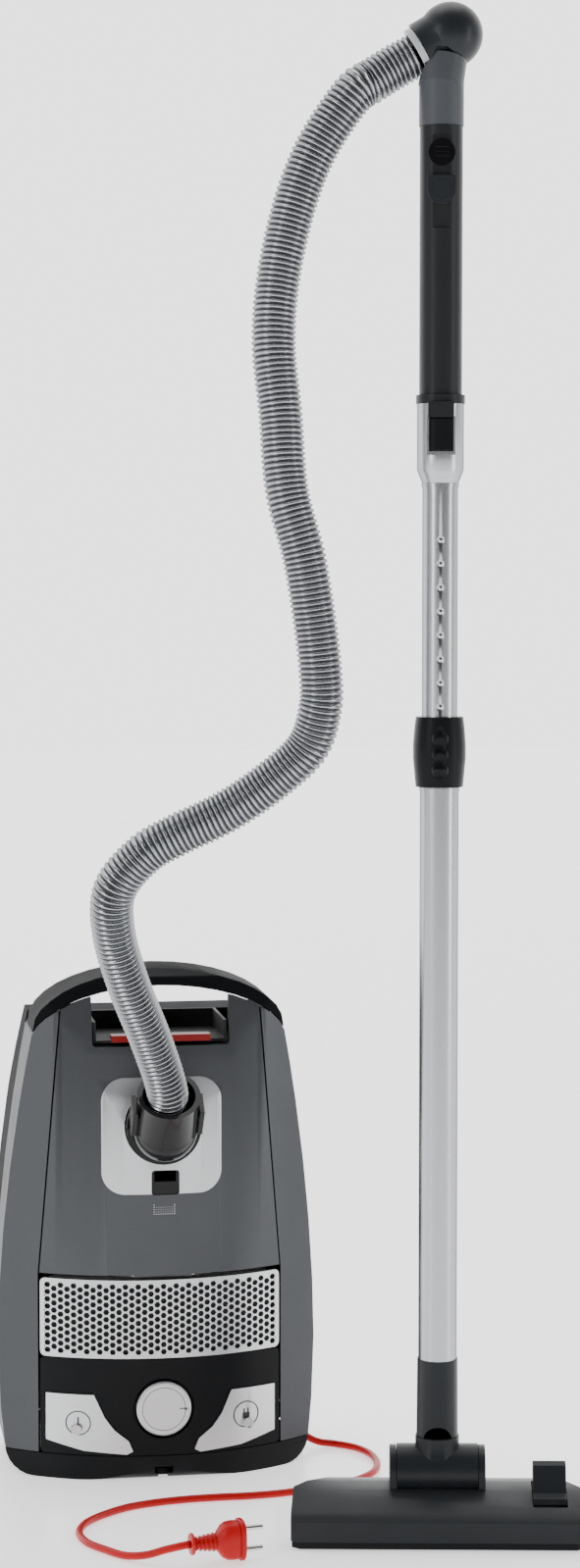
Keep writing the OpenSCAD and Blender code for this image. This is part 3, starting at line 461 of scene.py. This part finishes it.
# ---- catches of the telescope ----
def tube_catches():
    """Pressed domes that close the dimples of the upper tube."""
    radius, depth, rings, sides = 3.6, -12.2, 7, 24
    turn = Matrix.Rotation(math.radians(WAND_YAW), 4, "Z")
    place = Matrix.Translation(Vector((*WAND, 0)) * MM) @ turn
    verts, faces = [], []
    for k in range(CATCHES):
        base = len(verts)
        z = CATCH_Z + CATCH_PITCH * k
        for i in range(rings + 1):
            a = math.pi / 2 * i / rings
            for j in range(sides):
                b = math.tau * j / sides
                r = radius * math.sin(a)
                spot = (r * math.cos(b), depth - radius * math.cos(a), z + r * math.sin(b))
                verts.append(place @ (Vector(spot) * MM))
        for i in range(rings):
            for j in range(sides):
                n = (j + 1) % sides
                row, up = base + i * sides, base + (i + 1) * sides
                faces.append((row + j, up + j, up + n, row + n))
        faces.append(tuple(range(base + rings * sides, base + (rings + 1) * sides)))
    domes = mesh_object("tube_catches", verts, faces, STEEL, "wand")
    weld = domes.modifiers.new("weld", "WELD")
    weld.merge_threshold = 1e-5


tube_catches()


# ---- mains cord and plug ----
def plug_frame():
    """Where the plug lies: its axis is horizontal and points at the floor head."""
    turn = Matrix.Rotation(PLUG_TURN, 4, "Z") @ Matrix.Rotation(math.pi / 2, 4, "Y")
    return Matrix.Translation(PLUG_AT) @ turn


def loft(name, sections, sides, mat, place):
    """Joins rounded oblong sections (z, half width, half thickness, squareness)."""
    verts = []
    for z, w, t, power in sections:
        for k in range(sides):
            a = math.tau * k / sides
            c, s = math.cos(a), math.sin(a)
            x = w * math.copysign(abs(c) ** (2 / power), c)
            y = t * math.copysign(abs(s) ** (2 / power), s)
            verts.append(place @ (Vector((x, y, z)) * MM))
    return mesh_object(name, verts, skin(len(sections), sides), mat)


def plug():
    """A collar, a ribbed strain relief and the flat body up to its front."""
    place = plug_frame()
    sections = [(0, 4.2, 4.2, 2), (0.3, 9.2, 9.2, 2), (0.8, 9.8, 9.8, 2), (2.4, 9.8, 9.8, 2),
                (3.0, 9.0, 9.0, 2), (3.4, 5.4, 5.4, 2)]
    for k in range(5):
        z = 4.2 + 4 * k
        r = 5.6 + 0.5 * k
        sections += [(z, r - 0.9, r - 0.9, 2), (z + 0.3, r + 0.7, r + 0.7, 2),
                     (z + 1.8, r + 0.7, r + 0.7, 2), (z + 2.2, r - 0.9, r - 0.9, 2)]
    sections += [(24.4, 8.0, 8.0, 2.1), (26, 10.4, 9.4, 2.3), (29, 14.2, 11.0, 2.5),
                 (33, 16.6, 12.2, 2.7), (38, 17.2, 12.6, 2.8), (43.2, 16.9, 12.4, 2.8),
                 (43.8, 16.2, 11.8, 2.8), (44.4, 16.2, 11.8, 2.8), (44.8, 18.0, 13.0, 2.9),
                 (45.4, 18.5, 13.4, 2.9), (48.2, 18.5, 13.4, 2.9), (49, 17.8, 12.8, 2.9)]
    body = loft("plug", sections, 64, CORD_RED, place)
    bevelled(body, 0.25, 40)
    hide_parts("plug_body")
    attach(body, "canister")
    return body


def mains_cord():
    line = even(spline(CORD_ROUTE, 24), 3 * MM)
    cord = tube("mains_cord_sheath", line, lambda i: CORD_D / 2 * MM, 24, CORD_RED)
    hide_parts("mains_cord")
    plug()
    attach(cord, "canister")


mains_cord()


# ---- canister details ----
def cover_y(x, z):
    """The cover's front surface at x, z, in millimetres."""
    crown = CROWN_Y - math.sqrt(CROWN_R ** 2 - x * x)
    slope = -DEPTH / 2 + NOSE_BACK * (max(0, z - SLOPE_Z) / (TOP_Z - SLOPE_Z)) ** 2
    return max(crown, slope)


def on_cover(x, z, lift):
    return Vector((x, cover_y(x, z) - lift, z)) * MM


def decal(name, outlines, lift, thick, mat, body):
    """Flat shapes, each a list of (x, z), laid on the cover as thin solids."""
    verts = []
    faces = []
    for ring in outlines:
        base = len(verts)
        n = len(ring)
        verts += [on_cover(x, z, lift + thick) for x, z in ring]
        verts += [on_cover(x, z, lift) for x, z in ring]
        faces.append(tuple(base + k for k in range(n)))
        faces.append(tuple(base + n + k for k in reversed(range(n))))
        for k in range(n):
            j = (k + 1) % n
            faces.append((base + k, base + n + k, base + n + j, base + j))
    mesh_object(name, verts, faces, mat, body, smooth=False)


def annulus(cx, cz, r, width):
    """A ring drawn as short pieces, so that it can follow the crown."""
    pieces = []
    steps = 48
    for k in range(steps):
        a, b = math.tau * k / steps, math.tau * (k + 1) / steps
        pieces.append([(cx + (r - width) * math.cos(a), cz + (r - width) * math.sin(a)),
                       (cx + r * math.cos(a), cz + r * math.sin(a)),
                       (cx + r * math.cos(b), cz + r * math.sin(b)),
                       (cx + (r - width) * math.cos(b), cz + (r - width) * math.sin(b))])
    return pieces


def bar(x0, z0, x1, z1, w):
    """A straight stroke of width w from one point to another."""
    d = Vector((x1 - x0, z1 - z0)).normalized() * (w / 2)
    return [(x0 - d.y, z0 + d.x), (x0 + d.y, z0 - d.x), (x1 + d.y, z1 - d.x),
            (x1 - d.y, z1 + d.x)]


def disc(cx, cz, r, steps):
    return [(cx + r * math.cos(math.tau * k / steps), cz + r * math.sin(math.tau * k / steps))
            for k in range(steps)]


def signs():
    """Common signs: a stroke in a circle for power, a plug in a circle, and a dust bag."""
    x, z = POWER_SIGN
    power = annulus(x, z, 12, 1) + [bar(x, z - 6, x, z + 6, 1.2)]
    decal("power_sign", power, 1.0, 0.95, MARK, "power_pedal")
    x, z = REWIND_SIGN
    socket = annulus(x, z, 13, 1)
    socket += [bar(x - 3.5, z - 1, x + 3.5, z - 1, 5.5), bar(x - 2, z + 1, x - 2, z + 6, 1.3),
               bar(x + 2, z + 1, x + 2, z + 6, 1.3), bar(x, z - 3.5, x, z - 8, 1.4)]
    decal("rewind_sign", socket, 1.0, 0.95, MARK, "rewind_pedal")
    x, z = BAG_SIGN
    dots = [disc(x + DOT_STEP * i, z, 0.55, 10) for i in range(10)]
    for k in range(1, 5):
        dots.append(disc(x, z + DOT_STEP * k, 0.55, 10))
        dots.append(disc(x + DOT_STEP * 9, z + DOT_STEP * k, 0.55, 10))
    for i in range(1, 9):
        for k in range(1, 4):
            dots.append(disc(x + DOT_STEP * i, z + DOT_STEP * k, 0.38, 8))
    decal("bag_sign", dots, 0.02, 0.08, PRINT, "lid")


signs()


def dial_marks():
    """A fine ring and a pointer let into the dial's flat face."""
    front = -DEPTH / 2 - 1.56
    verts, faces = [], []
    turns = 96
    for k in range(turns):
        a = math.tau * k / turns
        for r in (20.6, 21.2):
            verts.append(Vector((r * math.cos(a), front, DIAL_Z + r * math.sin(a))) * MM)
        n = (k + 1) % turns
        faces.append((2 * k, 2 * k + 1, 2 * n + 1, 2 * n))
    base = len(verts)
    for x, z in ((15, -0.5), (20.6, -0.5), (20.6, 0.5), (15, 0.5)):
        verts.append(Vector((x, front, DIAL_Z + z)) * MM)
    faces.append((base, base + 1, base + 2, base + 3))
    marks = mesh_object("dial_marks", verts, faces, MARK, "suction_dial", smooth=False)
    solid = marks.modifiers.new("thickness", "SOLIDIFY")
    solid.thickness = 0.08 * MM


dial_marks()


def hexagon(cx, cz, c, d, h):
    """Six points: two corners at c to the sides, four at d to the sides and h up or down."""
    return [(cx + c, cz), (cx + d, cz + h), (cx - d, cz + h), (cx - c, cz), (cx - d, cz - h),
            (cx + d, cz - h)]


def grille():
    """Thin pressed sheet with staggered six-sided holes, inside a narrow rim."""
    step, pitch = 6.1, 7.1
    columns, rows = 18, 10
    lowest, highest = GRILLE_Z[0] + 0.4, GRILLE_Z[1] - LID_SWING
    middle = (lowest + highest) / 2
    verts, faces = [], []
    for i in range(-columns, columns + 1):
        cx = i * step
        count = rows - i % 2
        for k in range(count):
            cz = middle + pitch * (k - (count - 1) / 2)
            outer = hexagon(cx, cz, step * 2 / 3, step / 3, pitch / 2)
            inner = hexagon(cx, cz, 2.95, 1.5, 2.6)
            base = len(verts)
            verts += [on_cover(x, z, SHEET_LIFT) for x, z in outer + inner]
            for n in range(6):
                m = (n + 1) % 6
                faces.append((base + n, base + m, base + 6 + m, base + 6 + n))
        if i % 2:
            for side in (-1, 1):
                cz = middle + side * pitch * rows / 2
                cap = hexagon(cx, cz, step * 2 / 3, step / 3, -side * pitch / 2)
                base = len(verts)
                verts += [on_cover(x, z, SHEET_LIFT) for x, z in cap[:4]]
                faces.append((base, base + 1, base + 2, base + 3))
    sheet = mesh_object("grille_sheet", verts, faces, SILVER, smooth=False)
    weld = sheet.modifiers.new("weld", "WELD")
    weld.merge_threshold = 2e-4
    solid = sheet.modifiers.new("thickness", "SOLIDIFY")
    solid.thickness = 1.1 * MM
    solid.offset = 0
    bevelled(sheet, 0.15, 50)
    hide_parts("exhaust_grille")
    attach(sheet, "canister")
    frame_bars(lowest, highest)
    # Dark strips 5 mm behind the sheet are painted shade, so that the holes look dark inside.
    lo, hi = GRILLE_Z[0] + 3, GRILLE_Z[1] - 3
    shade_strips = [[(x, lo), (x + 6, lo), (x + 6, hi), (x, hi)] for x in range(-114, 114, 6)]
    decal("grille_painted_shade", shade_strips, -5.0, 0.6, DARK, "canister")


def frame_bars(lo, hi):
    """The grille's frame: a closed band that follows the crown."""
    width, corner = 4, 5
    path = []
    for cx, cz, start in ((PANEL_HALF - corner, hi - corner, 0),
                          (-PANEL_HALF + corner, hi - corner, 90),
                          (-PANEL_HALF + corner, lo + corner, 180),
                          (PANEL_HALF - corner, lo + corner, 270)):
        for a in range(0, 91, 15):
            t = math.radians(start + a)
            path.append((cx, cz, math.cos(t), math.sin(t)))
    ring = []
    for i, (cx, cz, c, s) in enumerate(path):
        ring.append((cx, cz, c, s))
        nx = path[(i + 1) % len(path)]
        if abs(nx[0] - cx) > 20:
            for k in range(1, 24):
                f = k / 24
                ring.append((cx + (nx[0] - cx) * f, cz, 0, s))
    verts, faces = [], []
    back = -1.0
    profile = [(corner - 2, back), (corner, -0.5), (corner, -0.3), (corner - 0.4, 0.0),
               (corner - width, 0.0), (corner - width, back)]
    for cx, cz, c, s in ring:
        for out, lift in profile:
            verts.append(on_cover(cx + out * c, cz + out * s, lift))
    n = len(profile)
    for i in range(len(ring)):
        j = (i + 1) % len(ring)
        for k in range(n):
            m = (k + 1) % n
            faces.append((i * n + k, i * n + m, j * n + m, j * n + k))
    band = mesh_object("grille_frame", verts, faces, SILVER, smooth=False)
    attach(band, "canister")


grille()


# ---- surroundings ----
def area(name, place, aim, size, power):
    """A soft rectangular light at place, turned to aim."""
    data = bpy.data.lights.new(name, "AREA")
    data.shape = "RECTANGLE"
    data.size, data.size_y = size
    data.energy = power
    light = bpy.data.objects.new(name, data)
    light.location = place
    direction = Vector(aim) - Vector(place)
    light.rotation_euler = direction.to_track_quat("-Z", "Y").to_euler()
    bpy.context.scene.collection.objects.link(light)


def studio():
    """A pale floor, a white world that is brighter behind the object, and three soft lights."""
    floor_mat, _, bsdf = shader("floor_white", (0.93, 0.93, 0.93), 0.22)
    bsdf.inputs["Specular IOR Level"].default_value = 0.35
    bsdf.inputs["Emission Color"].default_value = (1, 1, 1, 1)
    bsdf.inputs["Emission Strength"].default_value = 0.9
    size = 12
    floor = mesh_object("floor", [(-size, -size, 0), (size, -size, 0), (size, size, 0),
                                  (-size, size, 0)], [(0, 1, 2, 3)], floor_mat, smooth=False)
    world = bpy.data.worlds.new("world")
    bpy.context.scene.world = world
    world.use_nodes = True
    tree = world.node_tree
    sky = tree.nodes["Background"]
    sky.inputs["Color"].default_value = (1, 1, 1, 1)
    where = tree.nodes.new("ShaderNodeTexCoord")
    split = tree.nodes.new("ShaderNodeSeparateXYZ")
    fade = tree.nodes.new("ShaderNodeMapRange")
    fade.interpolation_type = "SMOOTHSTEP"
    fade.inputs["From Min"].default_value = -0.5
    fade.inputs["From Max"].default_value = 0.75
    fade.inputs["To Min"].default_value = 0.1
    fade.inputs["To Max"].default_value = 2.6
    tree.links.new(where.outputs["Generated"], split.inputs["Vector"])
    tree.links.new(split.outputs["Y"], fade.inputs["Value"])
    tree.links.new(fade.outputs["Result"], sky.inputs["Strength"])
    area("key", (-2.4, -2.0, 1.7), (0.0, -0.2, 0.6), (0.6, 2.2), 34)
    area("fill", (2.6, -1.7, 1.2), (0.1, -0.2, 0.6), (0.4, 2.2), 22)
    area("top", (0.1, 0.0, 3.2), (0.1, -0.2, 0.3), (1.8, 1.2), 16)


studio()
